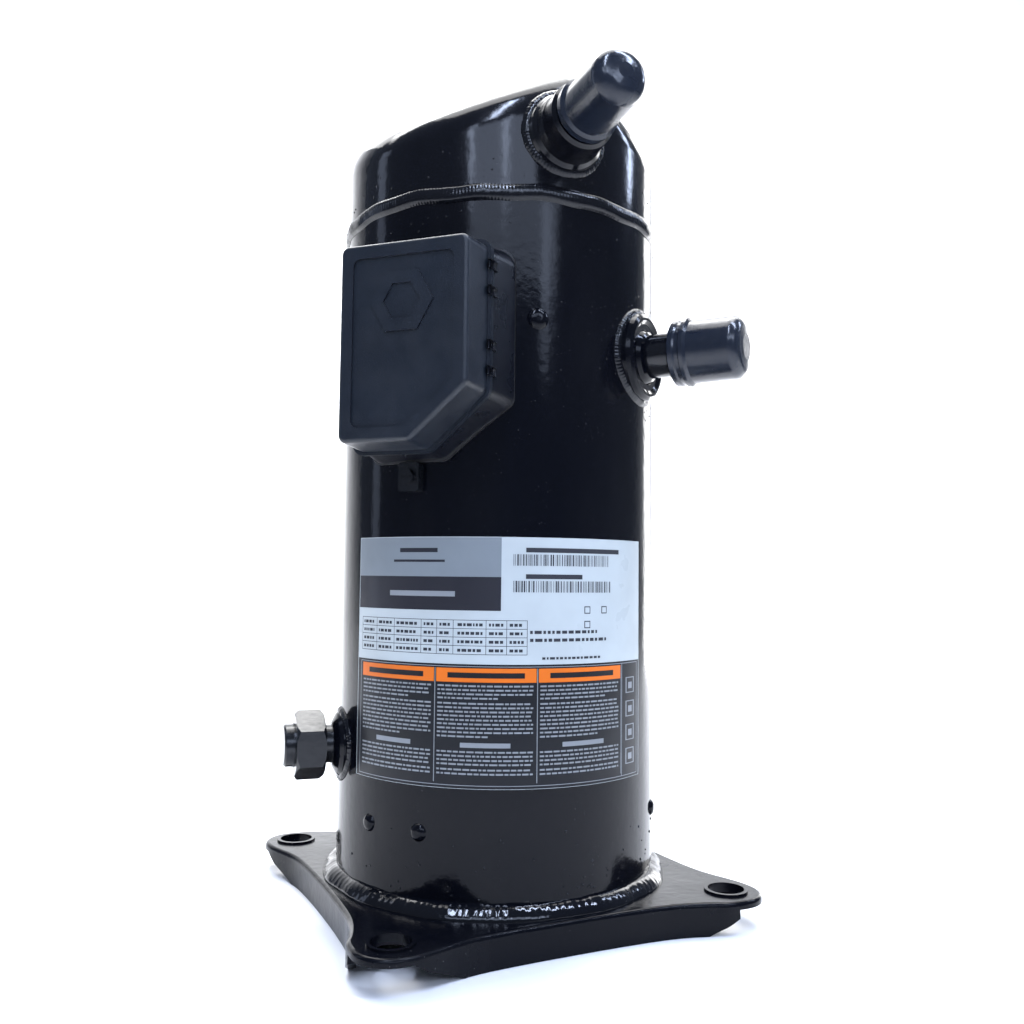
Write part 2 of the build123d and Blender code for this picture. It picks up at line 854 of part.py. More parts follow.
with BuildPart() as upper_counterweight:
    with BuildSketch(Plane.XY.offset(core_top + 9)):
        Circle(43)
        Circle(main_journal_r, mode=Mode.SUBTRACT)
        with Locations((32, 0)):
            Rectangle(64, 100, mode=Mode.SUBTRACT)
    extrude(amount=12)
    with BuildSketch(Plane.XY.offset(core_top + 9)):
        Circle(21)
        Circle(main_journal_r, mode=Mode.SUBTRACT)
    extrude(amount=12)
upper_counterweight.part.label = "upper_counterweight"
export_step(upper_counterweight.part, "parts/upper_counterweight.step")

with BuildPart() as lower_counterweight:
    with BuildSketch(Plane.XY.offset(core_bottom - 19)):
        Circle(42)
        Circle(27, mode=Mode.SUBTRACT)
        with Locations((-32, 0)):
            Rectangle(64, 100, mode=Mode.SUBTRACT)
    extrude(amount=10)
lower_counterweight.part.label = "lower_counterweight"
export_step(lower_counterweight.part, "parts/lower_counterweight.step")

# ---------------------------------------------------------------- scroll set


def wrap_edges(offset):
    """Half-circle arcs of one side of a scroll wall, from the centre outwards."""
    step = scroll_pitch / 2
    points = []
    for k in range(half_turns):
        up = 1 if k % 2 == 0 else -1
        centre = -up * step / 2
        radius = first_arc_r + k * step + offset
        points.append(((centre + up * radius, 0), (centre, up * radius), (centre - up * radius, 0)))
    return points


orbit_plane = Plane(origin=(orbit_r, 0, wrap_floor))

with BuildPart() as orbiting_scroll:
    with BuildSketch(Plane(origin=(orbit_r, 0, wrap_floor - 10))):
        Circle(70)
    extrude(amount=10)
    with BuildSketch(Plane(origin=(orbit_r, 0, 265))):
        Circle(22)
        Circle(bushing_r + 2, mode=Mode.SUBTRACT)
    extrude(amount=25)
    with BuildSketch(orbit_plane.rotated((0, 0, 180))):
        with BuildLine():
            for start, mid, end in wrap_edges(wrap_t / 2):
                ThreePointArc(start, mid, end)
            for start, mid, end in wrap_edges(-wrap_t / 2):
                ThreePointArc(start, mid, end)
            Line(wrap_edges(wrap_t / 2)[0][0], wrap_edges(-wrap_t / 2)[0][0])
            Line(wrap_edges(wrap_t / 2)[-1][2], wrap_edges(-wrap_t / 2)[-1][2])
        make_face()
    extrude(amount=wrap_height - tip_gap)
    with BuildSketch(Plane(origin=(orbit_r, 0, wrap_floor - 10))):
        with Locations((0, -62), (0, 62)):
            Rectangle(29, 21)
    extrude(amount=5.5, mode=Mode.SUBTRACT)
orbiting_scroll.part.label = "orbiting_scroll"
export_step(orbiting_scroll.part, "parts/orbiting_scroll.step")

with BuildPart() as hub_bearing:
    with BuildSketch(Plane(origin=(orbit_r, 0, 265))):
        Circle(bushing_r + 2)
        Circle(bushing_r + running_gap, mode=Mode.SUBTRACT)
    extrude(amount=23)
hub_bearing.part.label = "hub_bearing"
export_step(hub_bearing.part, "parts/hub_bearing.step")

with BuildPart() as oldham_ring:
    with BuildSketch(Plane(origin=(orbit_r, 0, 283.6))):
        Circle(69.5)
        Circle(60.5, mode=Mode.SUBTRACT)
    extrude(amount=5.8)
    with BuildSketch(Plane(origin=(orbit_r, 0, 289))):
        with Locations((0, -65), (0, 65)):
            Rectangle(8, 8)
    extrude(amount=5.5)
    with BuildSketch(Plane(origin=(orbit_r, 0, 279))):
        with Locations((-65, 0), (65, 0)):
            Rectangle(8.5, 8)
    extrude(amount=5)
oldham_ring.part.label = "oldham_ring"
export_step(oldham_ring.part, "parts/oldham_ring.step")

with BuildPart() as fixed_scroll:
    with BuildSketch(Plane.XY.offset(wrap_floor + 0.2)):
        Circle(86)
        Circle(72, mode=Mode.SUBTRACT)
    extrude(amount=11.8)
    with BuildSketch(Plane.XY.offset(wrap_floor + 0.2)):
        Circle(80)
        Circle(60.5, mode=Mode.SUBTRACT)
    extrude(amount=plate_top - wrap_floor)
    with BuildSketch(Plane.XY.offset(plate_top)):
        Circle(80)
    extrude(amount=12)
    with BuildSketch(Plane.XY.offset(plate_top + 12)):
        Circle(52)
        Circle(44, mode=Mode.SUBTRACT)
        Circle(22)
        Circle(13.5, mode=Mode.SUBTRACT)
    extrude(amount=10)
    with BuildSketch(Plane.XY.offset(wrap_floor + 0.2)):
        with BuildLine():
            for start, mid, end in wrap_edges(wrap_t / 2):
                ThreePointArc(start, mid, end)
            for start, mid, end in wrap_edges(-wrap_t / 2):
                ThreePointArc(start, mid, end)
            Line(wrap_edges(wrap_t / 2)[0][0], wrap_edges(-wrap_t / 2)[0][0])
            Line(wrap_edges(wrap_t / 2)[-1][2], wrap_edges(-wrap_t / 2)[-1][2])
        make_face()
    extrude(amount=wrap_height)
    with BuildSketch(Plane.XY.offset(plate_top - 1)):
        Circle(5)
    extrude(amount=20, mode=Mode.SUBTRACT)
    with BuildSketch(face_plane(suction_azimuth, 58)):
        with Locations((0, 316)):
            Rectangle(36, 33)
    extrude(amount=40, mode=Mode.SUBTRACT)
    with BuildSketch(Plane.XY.offset(wrap_floor)):
        with PolarLocations(81, 4, suction_azimuth + 45):
            Circle(5.4)
    extrude(amount=13, mode=Mode.SUBTRACT)
    with BuildSketch(Plane.XY.offset(wrap_floor + 12)):
        with PolarLocations(81, 4, suction_azimuth + 45):
            Circle(8.5)
    extrude(amount=40, mode=Mode.SUBTRACT)
fixed_scroll.part.label = "fixed_scroll"
export_step(fixed_scroll.part, "parts/fixed_scroll.step")

with BuildPart() as valve_retainer:
    with BuildSketch(Plane.XY.offset(plate_top + 17)):
        Circle(13.5)
        with PolarLocations(9, 4):
            Circle(3, mode=Mode.SUBTRACT)
    extrude(amount=3)
valve_retainer.part.label = "valve_retainer"
export_step(valve_retainer.part, "parts/valve_retainer.step")

with BuildPart() as discharge_valve:
    with BuildSketch(Plane.XY.offset(plate_top + 12.1)):
        Circle(9)
    extrude(amount=1.4)
discharge_valve.part.label = "discharge_valve"
export_step(discharge_valve.part, "parts/discharge_valve.step")

with BuildPart() as floating_seal_lower:
    with BuildSketch(Plane.XY.offset(plate_top + 13)):
        Circle(43.6)
        Circle(22.4, mode=Mode.SUBTRACT)
    extrude(amount=7)
floating_seal_lower.part.label = "floating_seal_lower"
export_step(floating_seal_lower.part, "parts/floating_seal_lower.step")

with BuildPart() as floating_seal_upper:
    with BuildSketch(Plane.XY.offset(plate_top + 20)):
        Circle(43.6)
        Circle(22.4, mode=Mode.SUBTRACT)
    extrude(amount=5)
    with BuildSketch(Plane.XY.offset(plate_top + 25)):
        Circle(29)
        Circle(24, mode=Mode.SUBTRACT)
    extrude(amount=12)
floating_seal_upper.part.label = "floating_seal_upper"
export_step(floating_seal_upper.part, "parts/floating_seal_upper.step")

with BuildPart() as scroll_bolts:
    with BuildSketch(Plane.XY.offset(280)):
        with PolarLocations(81, 4, suction_azimuth + 45):
            Circle(4)
    extrude(amount=33.5)
    with BuildSketch(Plane.XY.offset(313.2)):
        with PolarLocations(81, 4, suction_azimuth + 45):
            RegularPolygon(radius=6.4, side_count=6)
    extrude(amount=6)
scroll_bolts.part.label = "scroll_bolts"
export_step(scroll_bolts.part, "parts/scroll_bolts.step")

with BuildPart() as bolt_sleeves:
    with BuildSketch(Plane.XY.offset(wrap_floor)):
        with PolarLocations(81, 4, suction_azimuth + 45):
            Circle(5.1)
            Circle(4.05, mode=Mode.SUBTRACT)
    extrude(amount=13.2)
bolt_sleeves.part.label = "bolt_sleeves"
export_step(bolt_sleeves.part, "parts/bolt_sleeves.step")
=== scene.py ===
import math
import random
import bpy
import bmesh
from mathutils import Matrix, Vector
from mathutils.bvhtree import BVHTree


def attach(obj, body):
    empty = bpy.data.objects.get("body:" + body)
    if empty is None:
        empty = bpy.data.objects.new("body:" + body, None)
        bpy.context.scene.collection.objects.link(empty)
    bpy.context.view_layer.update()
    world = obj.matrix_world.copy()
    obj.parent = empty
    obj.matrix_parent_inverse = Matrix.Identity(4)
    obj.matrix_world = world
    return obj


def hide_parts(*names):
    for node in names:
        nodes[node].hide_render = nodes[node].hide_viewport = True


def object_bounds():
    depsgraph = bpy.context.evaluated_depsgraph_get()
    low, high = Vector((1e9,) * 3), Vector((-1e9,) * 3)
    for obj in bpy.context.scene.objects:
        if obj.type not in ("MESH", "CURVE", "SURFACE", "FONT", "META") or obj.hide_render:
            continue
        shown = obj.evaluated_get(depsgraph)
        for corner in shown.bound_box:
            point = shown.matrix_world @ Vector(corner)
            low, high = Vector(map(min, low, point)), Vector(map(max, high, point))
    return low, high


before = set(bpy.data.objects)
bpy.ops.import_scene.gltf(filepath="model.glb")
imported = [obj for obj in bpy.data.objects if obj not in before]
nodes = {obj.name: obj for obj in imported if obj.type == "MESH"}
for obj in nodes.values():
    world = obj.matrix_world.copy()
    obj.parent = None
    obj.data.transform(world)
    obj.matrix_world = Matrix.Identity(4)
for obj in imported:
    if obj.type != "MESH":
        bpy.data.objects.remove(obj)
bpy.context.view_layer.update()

# Hermetic scroll compressor. Metres, +Z up, origin on the shell axis at the underside of the feet.
# Azimuths and rises are in degrees.

SHELL_R = 0.092075
SEAM_Z = 0.373
# fittings on the casing: azimuth, height, rise
SUCTION = (-55.0, 0.2965, 0.0)
DISCHARGE = (-93.0, 0.4035, 2.5)
OIL = (173.5, 0.078, 0.0)
BOX_AZIMUTH = -136.0
UP = Vector((0, 0, 1))


def out(azimuth, rise=0.0):
    """Unit vector that points away from the shell axis."""
    a, e = math.radians(azimuth), math.radians(rise)
    return Vector((math.cos(e) * math.cos(a), math.cos(e) * math.sin(a), math.sin(e)))


def side(azimuth):
    """Level unit vector across out(azimuth)."""
    a = math.radians(azimuth)
    return Vector((-math.sin(a), math.cos(a), 0.0))


def level(z):
    """The point of the shell axis at this height."""
    return Vector((0, 0, z))


def polar(azimuth, radius, z):
    """The point at this azimuth, distance from the shell axis and height."""
    return out(azimuth) * radius + level(z)


# ------------------------------------------------------------------ materials


class Paint:
    """Builds one node material round a Principled shader."""

    def __init__(self, name, color, roughness, metallic=0.0):
        self.mat = bpy.data.materials.new(name)
        self.mat.use_nodes = True
        self.tree = self.mat.node_tree
        self.shader = self.tree.nodes["Principled BSDF"]
        self.shader.inputs["Base Color"].default_value = (*color, 1.0)
        self.shader.inputs["Roughness"].default_value = roughness
        self.shader.inputs["Metallic"].default_value = metallic
        self.coord = self.tree.nodes.new("ShaderNodeTexCoord").outputs["Object"]

    def link(self, a, b):
        self.tree.links.new(a, b)

    def noise(self, scale, detail=2.0, rough=0.5, stretch=None):
        node = self.tree.nodes.new("ShaderNodeTexNoise")
        node.inputs["Scale"].default_value = scale
        node.inputs["Detail"].default_value = detail
        node.inputs["Roughness"].default_value = rough
        source = self.coord
        if stretch:
            mapping = self.tree.nodes.new("ShaderNodeMapping")
            mapping.inputs["Scale"].default_value = stretch
            self.link(self.coord, mapping.inputs["Vector"])
            source = mapping.outputs["Vector"]
        self.link(source, node.inputs["Vector"])
        return node.outputs["Fac"]

    def voronoi(self, scale):
        node = self.tree.nodes.new("ShaderNodeTexVoronoi")
        node.inputs["Scale"].default_value = scale
        self.link(self.coord, node.inputs["Vector"])
        return node.outputs["Distance"]

    def ramp(self, fac, low, high, a=0.0, b=1.0):
        """Maps low..high to a..b, held at both ends."""
        node = self.tree.nodes.new("ShaderNodeMapRange")
        node.inputs["From Min"].default_value = low
        node.inputs["From Max"].default_value = high
        node.inputs["To Min"].default_value = a
        node.inputs["To Max"].default_value = b
        self.link(fac, node.inputs["Value"])
        return node.outputs["Result"]

    def calc(self, operation, a, b):
        node = self.tree.nodes.new("ShaderNodeMath")
        node.operation = operation
        for socket, value in zip(node.inputs, (a, b)):
            if isinstance(value, (int, float)):
                socket.default_value = value
            else:
                self.link(value, socket)
        return node.outputs["Value"]

    def mix(self, fac, a, b):
        """Blends two colours."""
        node = self.tree.nodes.new("ShaderNodeMix")
        node.data_type = "RGBA"
        self.link(fac, node.inputs["Factor"])
        # 6 and 7 are the colour inputs A and B, and output 2 is the blended colour
        node.inputs[6].default_value = (*a, 1.0)
        node.inputs[7].default_value = (*b, 1.0)
        return node.outputs[2]

    def color(self, value):
        self.link(value, self.shader.inputs["Base Color"])

    def roughness(self, value):
        self.link(value, self.shader.inputs["Roughness"])

    def specular(self, value):
        self.shader.inputs["Specular IOR Level"].default_value = value

    def coat(self, weight, roughness):
        self.shader.inputs["Coat Weight"].default_value = weight
        self.shader.inputs["Coat Roughness"].default_value = roughness

    def bump(self, *layers):
        """Each layer is (height, distance in metres, strength)."""
        normal = None
        for height, distance, strength in layers:
            node = self.tree.nodes.new("ShaderNodeBump")
            node.inputs["Distance"].default_value = distance
            node.inputs["Strength"].default_value = strength
            self.link(height, node.inputs["Height"])
            if normal:
                self.link(normal, node.inputs["Normal"])
            normal = node.outputs["Normal"]
        self.link(normal, self.shader.inputs["Normal"])


ENAMEL = (0.0022, 0.0027, 0.0050)
TUBE_ENAMEL = (0.004, 0.0045, 0.007)
COPPER = (0.62, 0.34, 0.22)
# pale colour of the dust smears and of the specks, which also serve as painted glints
DUST_AND_GLINT = (0.17, 0.165, 0.16)
RUBBER_BLOOM = (0.024, 0.026, 0.032)


def shade(base, factor):
    return tuple(c * factor for c in base)


def enamel(name, base=ENAMEL, gloss=0.10, dust_and_glint=1.0, rough_cast=0.0, specular=0.18):
    """Gloss black enamel: orange peel, faint dust smears, and pale specks that are partly dust and
    partly painted glints.
    """
    p = Paint(name, base, gloss)
    smear = p.noise(14.0, 4.0, 0.6, (1.0, 1.0, 0.35))
    # pale specks on the enamel: partly dust, partly painted glints
    specks = p.ramp(p.voronoi(420.0), 0.10, 0.05)
    patches = p.ramp(p.noise(60.0, 3.0), 0.56, 0.66)
    grime_and_glint = p.calc("MULTIPLY", specks, patches)
    haze = p.ramp(smear, 0.45, 0.75, 0.0, 0.018 * dust_and_glint)
    amount = p.calc("MAXIMUM", p.calc("MULTIPLY", grime_and_glint, 0.6 * dust_and_glint), haze)
    p.color(p.mix(amount, base, DUST_AND_GLINT))
    rough = p.ramp(smear, 0.3, 0.75, gloss * 0.7, gloss * 1.7)
    p.roughness(p.calc("ADD", rough, p.calc("MULTIPLY", grime_and_glint, 0.25)))
    p.bump(
        (p.noise(230.0, 1.5), 0.0006, 0.12 + rough_cast),
        (p.noise(45.0, 2.0), 0.0015, 0.12 + rough_cast),
        (p.noise(900.0, 2.0), 0.0002, 0.08),
    )
    p.specular(specular)
    return p.mat


def rubber(name, base, gloss):
    """Rubber with a cloudy bloom and a fine grain."""
    p = Paint(name, base, gloss)
    cloud = p.noise(120.0, 3.0)
    p.color(p.mix(p.ramp(cloud, 0.35, 0.75, 0.0, 0.35), base, RUBBER_BLOOM))
    p.roughness(p.ramp(p.noise(260.0, 2.0), 0.3, 0.7, gloss * 0.8, gloss * 1.35))
    p.bump((p.noise(700.0, 2.0), 0.0003, 0.2), (p.noise(90.0, 2.0), 0.0012, 0.18))
    return p.mat


def moulded(name, base, gloss, specular=0.5):
    """Grained plastic from a mould."""
    p = Paint(name, base, gloss)
    cloud = p.noise(30.0, 3.0)
    p.color(p.mix(p.ramp(cloud, 0.4, 0.7, 0.0, 0.3), base, shade(base, 1.7)))
    p.roughness(p.ramp(p.noise(80.0, 2.0), 0.3, 0.7, gloss * 0.85, gloss * 1.2))
    p.bump((p.voronoi(1500.0), 0.00025, 0.18), (p.noise(1050.0, 2.0), 0.0002, 0.2))
    p.specular(specular)
    return p.mat


def metal(name, base, rough, stretch=(1.0, 1.0, 1.0), scale=300.0, metallic=1.0, cast=0.0):
    """Bare metal: stretch draws its grain out along an axis, cast makes it lumpier."""
    p = Paint(name, base, rough, metallic)
    grain = p.noise(scale, 3.0, 0.6, stretch)
    bright = tuple(min(1.0, c) for c in shade(base, 1.15))
    p.color(p.mix(p.ramp(grain, 0.3, 0.7), shade(base, 0.75), bright))
    p.roughness(p.ramp(grain, 0.3, 0.7, rough * 0.8, rough * 1.3))
    p.bump((grain, 0.0004, 0.15 + cast), (p.noise(60.0, 2.0), 0.001, 0.05 + cast))
    return p.mat


def painted_tube(name, fitting, paint_to):
    """Copper-plated tube, painted black up to where the plug masked it."""
    azimuth, height, rise = fitting
    p = Paint(name, COPPER, 0.3)
    dot = p.tree.nodes.new("ShaderNodeVectorMath")
    dot.operation = "DOT_PRODUCT"
    dot.inputs[1].default_value = out(azimuth, rise)
    p.link(p.coord, dot.inputs[0])
    edge = paint_to + height * math.sin(math.radians(rise))
    bare = p.ramp(dot.outputs["Value"], edge - 0.0002, edge + 0.0002)
    p.color(p.mix(bare, TUBE_ENAMEL, COPPER))
    p.link(bare, p.shader.inputs["Metallic"])
    p.roughness(p.ramp(bare, 0.0, 1.0, 0.12, 0.3))
    p.bump((p.noise(260.0, 2.0), 0.0005, 0.15))
    return p.mat


def film(name, base, gloss):
    """Printed label film with a faint varnish."""
    p = Paint(name, base, gloss)
    cloud = p.noise(35.0, 3.0)
    p.color(p.mix(p.ramp(cloud, 0.35, 0.75), base, shade(base, 0.88)))
    p.roughness(p.ramp(p.noise(70.0, 3.0), 0.3, 0.7, gloss * 0.8, gloss * 1.3))
    p.bump((p.noise(160.0, 2.0), 0.0004, 0.08))
    p.coat(0.10, 0.15)
    p.specular(0.25)
    return p.mat


black = enamel("enamel_black")
black_cap = enamel("enamel_cap", dust_and_glint=0.8, specular=0.3)
black_base = enamel("enamel_base", gloss=0.19, dust_and_glint=1.8, rough_cast=0.06, specular=0.13)
weld_paint = enamel("enamel_weld", dust_and_glint=1.2, rough_cast=0.2, specular=0.4)
nut_paint = enamel(
    "enamel_nut", (0.006, 0.007, 0.009), gloss=0.2, dust_and_glint=1.4, rough_cast=0.05, specular=0.45
)
plug_rubber = rubber("plug_rubber", (0.010, 0.014, 0.024), 0.17)
gasket_rubber = rubber("gasket_rubber", (0.012, 0.012, 0.012), 0.5)
box_plastic = moulded("box_plastic", (0.008, 0.0112, 0.0175), 0.36)
housing_plastic = moulded("housing_plastic", (0.004, 0.005, 0.0085), 0.3, specular=0.3)
seal_white = moulded("seal_plastic", (0.7, 0.7, 0.66), 0.5)
suction_tube = painted_tube("suction_tube", SUCTION, 0.1138)
discharge_tube = painted_tube("discharge_tube", DISCHARGE, 0.1150)
steel = metal("plain_steel", (0.42, 0.42, 0.43), 0.32, (1, 1, 12))
ground_steel = metal("ground_steel", (0.55, 0.55, 0.57), 0.22, (1, 1, 20))
iron = metal("grey_iron", (0.16, 0.16, 0.17), 0.55, scale=220.0, metallic=0.7, cast=0.25)
bronze = metal("bearing_bronze", (0.5, 0.33, 0.14), 0.35)
laminations = metal(
    "laminated_steel", (0.28, 0.29, 0.31), 0.42, (0.02, 0.02, 30), scale=90.0, cast=0.15
)
copper_wire = metal("enamelled_wire", (0.45, 0.16, 0.05), 0.35, scale=420.0, cast=0.35)
aluminium = metal("cast_aluminium", (0.6, 0.6, 0.62), 0.38, cast=0.12)
label_silver = film("label_silver", (0.52, 0.57, 0.58), 0.32)
label_grey = film("label_grey", (0.22, 0.25, 0.275), 0.35)
label_dark = film("label_dark", (0.022, 0.022, 0.029), 0.36)
label_black = film("label_black", (0.006, 0.007, 0.010), 0.34)
label_orange = film("label_orange", (0.80, 0.17, 0.012), 0.38)
label_ink = film("label_ink", (0.035, 0.037, 0.045), 0.45)
label_pale = film("label_pale", (0.26, 0.28, 0.30), 0.45)

FINISH = {
    "shell": black,
    "top_cap": black_cap,
    "bottom_cap": black,
    "mounting_base": black_base,
    "seam_weld": weld_paint,
    "base_weld": weld_paint,
    "suction_collar": black,
    "discharge_boss": black_cap,
    "oil_boss": black,
    "ground_bracket": nut_paint,
    "oil_spud": nut_paint,
    "oil_cap_nut": nut_paint,
    "oil_blank": nut_paint,
    "oil_seal": seal_white,
    "suction_stub": suction_tube,
    "discharge_stub": discharge_tube,
    "suction_plug": plug_rubber,
    "discharge_plug": plug_rubber,
    "terminal_gasket": gasket_rubber,
    "terminal_base": housing_plastic,
    "terminal_cover": box_plastic,
    "hermetic_terminal": steel,
    "terminal_pins": bronze,
    "ground_screw": nut_paint,
    "rating_label": label_silver,
    "main_bearing_housing": iron,
    "lower_bearing_bracket": iron,
    "fixed_scroll": iron,
    "orbiting_scroll": iron,
    "main_bearing_bush": bronze,
    "lower_bearing_bush": bronze,
    "hub_bearing": bronze,
    "drive_bushing": bronze,
    "stator_core": laminations,
    "rotor_core": laminations,
    "upper_winding": copper_wire,
    "lower_winding": copper_wire,
    "rotor_end_rings": aluminium,
    "oldham_ring": aluminium,
    "floating_seal_lower": aluminium,
    "floating_seal_upper": aluminium,
}
# every other node is ground steel
for name, obj in nodes.items():
    obj.data.materials.clear()
    obj.data.materials.append(FINISH.get(name, ground_steel))

# widths of the rolled edges on pressed, moulded and machined parts
ROLLED_EDGES = {
    "mounting_base": 0.0009,
    "terminal_base": 0.0008,
    "ground_bracket": 0.0004,
    "suction_plug": 0.0006,
    "discharge_plug": 0.0005,
    "suction_collar": 0.0006,
    "discharge_boss": 0.0008,
    "oil_boss": 0.0006,
    "oil_cap_nut": 0.0005,
    "oil_blank": 0.0004,
}
for name, width in ROLLED_EDGES.items():
    bevel = nodes[name].modifiers.new("rolled_edge", "BEVEL")
    bevel.width = width
    bevel.segments = 3
    bevel.limit_method = "ANGLE"
    bevel.angle_limit = math.radians(25)
    bevel.harden_normals = True

# ------------------------------------------------------------------ mesh helpers


def link_mesh(name, bm, materials):
    """Turns a bmesh into a smooth-shaded object in the scene."""
    data = bpy.data.meshes.new(name)
    bm.normal_update()
    bm.to_mesh(data)
    bm.free()
    for polygon in data.polygons:
        polygon.use_smooth = True
    for material in materials:
        data.materials.append(material)
    obj = bpy.data.objects.new(name, data)
    bpy.context.scene.collection.objects.link(obj)
    return obj


def mesh_object(name, bm, materials, body="casing"):
    """A visible piece of the part, riding on a body."""
    obj = link_mesh(name, bm, materials)
    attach(obj, body)
    return obj


BEAD_PROBES = 200  # points that measure a bead's length
BEAD_STEP = 0.00055  # distance between its rows
BEAD_ACROSS = 9  # points in each row
BEAD_SUNK = 0.0004  # depth of its edges under the surface


def weld_bead(name, path, width, height, seed, ripple=0.0018, relief=0.12):
    """A laid bead along a closed path.

    path(t) gives (point, up out of the surface, across the bead) for t from 0 to 1.
    ripple is the length of one ripple, and relief its depth as a share of the height.
    """
    rng = random.Random(seed)
    probe = [path(k / BEAD_PROBES)[0] for k in range(BEAD_PROBES)]
    length = sum((probe[k] - probe[k - 1]).length for k in range(BEAD_PROBES))
    count = max(90, int(length / BEAD_STEP))
    # slow unevenness round the bead: (size, phase, number of waves)
    waves = [(rng.uniform(0.6, 1.0), rng.uniform(0, 6.28), rng.randint(5, 40)) for _ in range(7)]
    bm = bmesh.new()
    rows = []
    for k in range(count):
        t = k / count
        point, up, across = path(t)
        slow = sum(a * math.sin(2 * math.pi * f * t + s) for a, s, f in waves) / 7.0
        beat = (t * length / ripple) % 1.0
        row = []
        for j in range(BEAD_ACROSS):
            v = j / (BEAD_ACROSS - 1) * 2 - 1
            chevron = (beat + 0.35 * v * v) % 1.0
            scallop = 0.5 + 0.5 * math.cos(2 * math.pi * chevron)
            dome = math.sqrt(max(0.0, 1 - v * v))
            lift = dome * height * (1.02 - relief + 0.22 * slow + relief * scallop)
            sway = math.sin(2 * math.pi * beat + 2 * v)
            spread = width * (1 + 0.10 * slow + 0.32 * relief * sway)
            jitter = rng.uniform(-1, 1) * 0.00005
            co = point + up * (lift + jitter - BEAD_SUNK) + across * (v * spread)
            row.append(bm.verts.new(co))
        rows.append(row)
    for k in range(count):
        a, b = rows[k], rows[(k + 1) % count]
        for j in range(BEAD_ACROSS - 1):
            bm.faces.new((a[j], b[j], b[j + 1], a[j + 1]))
    return mesh_object(name, bm, [weld_paint])


# ------------------------------------------------------------------ welds


def wobble(azimuth, *waves):
    """Sum of sine waves round the shell, each (size, number of waves, phase)."""
    a = math.radians(azimuth)
    return sum(size * math.sin(a * number + phase) for size, number, phase in waves)


def seam_path(t):
    """Round the shell at the cap's edge."""
    azimuth = 360.0 * t
    z = SEAM_Z + wobble(azimuth, (0.0005, 7, 1.0), (0.0004, 17, 0.0))
    return polar(azimuth, SHELL_R + 0.0003, z), out(azimuth), UP


def base_path(t):
    """Round the shell's foot, facing half outward and half up."""
    azimuth = 360.0 * t
    outward = out(azimuth)
    radius = SHELL_R + 0.0022 + wobble(azimuth, (0.0006, 5, 0.4), (0.0005, 13, 0.0))
    return polar(azimuth, radius, 0.0062), (outward + UP).normalized(), (UP - outward).normalized()


def on_shell(fitting, u, w):
    """The shell's point u across and w up from a level fitting's centre, and its normal."""
    azimuth, height, _ = fitting
    depth = math.sqrt(SHELL_R ** 2 - u ** 2)
    point = out(azimuth) * depth + side(azimuth) * u + level(height + w)
    return point, Vector((point.x, point.y, 0)).normalized()


def fitting_path(fitting, radius):
    """Where a round collar of this radius meets the shell."""
    sideways = side(fitting[0])

    def path(t):
        psi = 2 * math.pi * t
        point, wall = on_shell(fitting, radius * math.cos(psi), radius * math.sin(psi))
        radial = (sideways * math.cos(psi) + UP * math.sin(psi)).normalized()
        return point, (wall + radial * 0.8).normalized(), (radial - wall * 0.8).normalized()

    return path


seam = weld_bead("seam_bead", seam_path, 0.0046, 0.0023, 3, relief=0.08)
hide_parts("seam_weld")

foot_bead = weld_bead("base_bead", base_path, 0.0066, 0.0034, 5, ripple=0.0042, relief=0.02)
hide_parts("base_weld")

weld_bead("suction_weld", fitting_path(SUCTION, 0.0252), 0.0032, 0.0024, 7)
weld_bead("oil_weld", fitting_path(OIL, 0.0187), 0.0026, 0.0020, 9)

cap_mesh = nodes["top_cap"]
cap_tree = BVHTree.FromPolygons(
    [cap_mesh.matrix_world @ v.co for v in cap_mesh.data.vertices],
    [tuple(polygon.vertices) for polygon in cap_mesh.data.polygons],
)
BOSS_FOOT_R = 0.0218
CAP_CLEAR = 0.16  # a distance along the boss's axis that is outside the cap


def discharge_path(t):
    """The foot of the discharge boss, followed over the cap's curved front."""
    azimuth, height, rise = DISCHARGE
    axis = out(azimuth, rise)
    across = side(azimuth)
    psi = 2 * math.pi * t
    radial = across * math.cos(psi) + across.cross(axis) * math.sin(psi)
    start = level(height) + axis * CAP_CLEAR + radial * BOSS_FOOT_R
    point, normal, _, _ = cap_tree.ray_cast(start, -axis)
    return point, (normal + radial * 0.7).normalized(), (radial - normal * 0.7).normalized()


weld_bead("discharge_weld", discharge_path, 0.0034, 0.0024, 11)

# spatter stuck to the shell: (point, outward, radius)
SPECK_R = 0.00025  # the smallest
rng = random.Random(21)
spots = []
# both sides of the seam, thinning out away from it
for _ in range(150):
    azimuth = rng.uniform(-180, 180)
    z = SEAM_Z + rng.choice((-1, 1)) * (0.008 + abs(rng.gauss(0, 0.009)))
    if z < SEAM_Z + 0.035:
        spots.append((polar(azimuth, SHELL_R, z), out(azimuth), rng.uniform(SPECK_R, 0.0007)))
# above the base
for _ in range(130):
    azimuth = rng.uniform(-180, 180)
    z = 0.012 + abs(rng.gauss(0, 0.014))
    spots.append((polar(azimuth, SHELL_R, z), out(azimuth), rng.uniform(SPECK_R, 0.0008)))
# round the suction collar
for _ in range(40):
    psi = rng.uniform(0, 2 * math.pi)
    reach = 0.029 + abs(rng.gauss(0, 0.006))
    point, wall = on_shell(SUCTION, reach * math.cos(psi), reach * math.sin(psi))
    spots.append((point, wall, rng.uniform(SPECK_R, 0.0006)))

# each spot is a ball squashed towards the surface
rng = random.Random(22)
bm = bmesh.new()
for point, up, radius in spots:
    made = bmesh.ops.create_icosphere(bm, subdivisions=2, radius=radius)
    squash = rng.uniform(0.5, 0.8)
    for v in made["verts"]:
        v.co = point + v.co - up * v.co.dot(up) * (1 - squash)
mesh_object("weld_spatter", bm, [weld_paint])

# ------------------------------------------------------------------ label print

